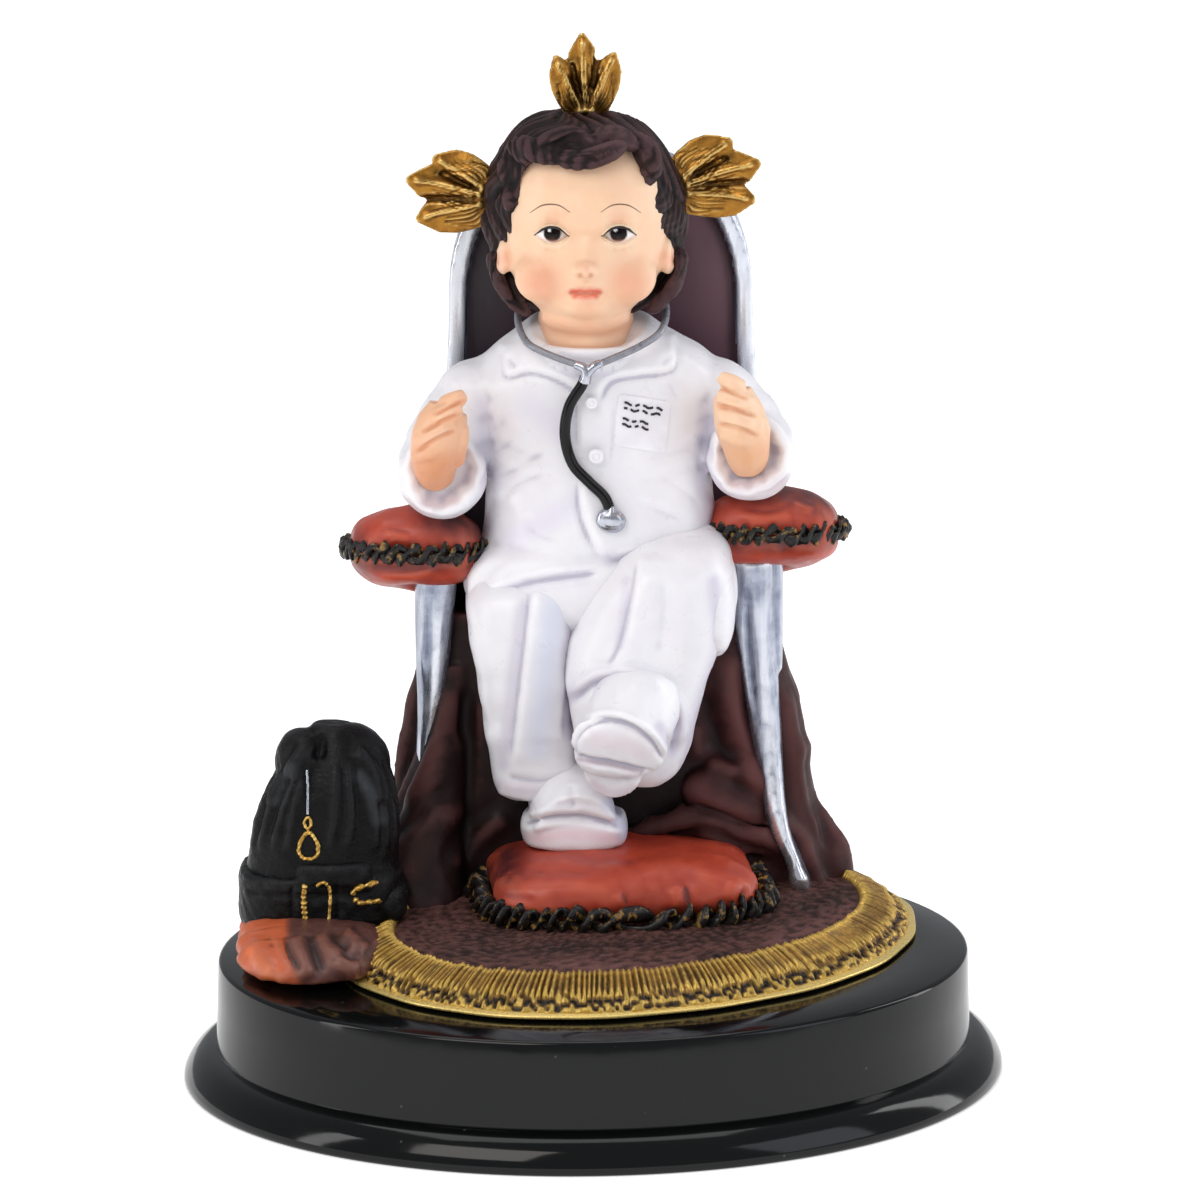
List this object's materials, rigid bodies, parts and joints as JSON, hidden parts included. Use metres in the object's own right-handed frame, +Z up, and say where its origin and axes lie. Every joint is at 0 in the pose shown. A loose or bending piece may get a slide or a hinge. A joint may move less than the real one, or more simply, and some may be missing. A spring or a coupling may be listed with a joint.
{
  "type": "child jesus doctor figurine",
  "caption": "Painted resin figurine of a child doctor seated cross-legged in an arched chair, with a bag, on a fringed carpet and a glossy black oval base.",
  "frame": {"origin": "centre of the underside of the oval base", "axes": "+Z up, +X along the long way of the base to the right as seen from the front, +Y along its short way from the front to the back"},
  "size_m": [0.1006, 0.0832, 0.1262],
  "materials": {
    "base_lacquer": "high gloss black lacquer",
    "painted_resin": "hand-painted cast resin, satin, in white, flesh, red, burgundy, black, silver and gold",
    "gold_ray": "cast metal with antique gold paint, dark in the grooves"
  },
  "bodies": {
    "root": {"plinth": "base_lacquer", "casting": "painted_resin", "ray_top": "gold_ray", "ray_left": "gold_ray", "ray_right": "gold_ray"}
  },
  "joints": []
}
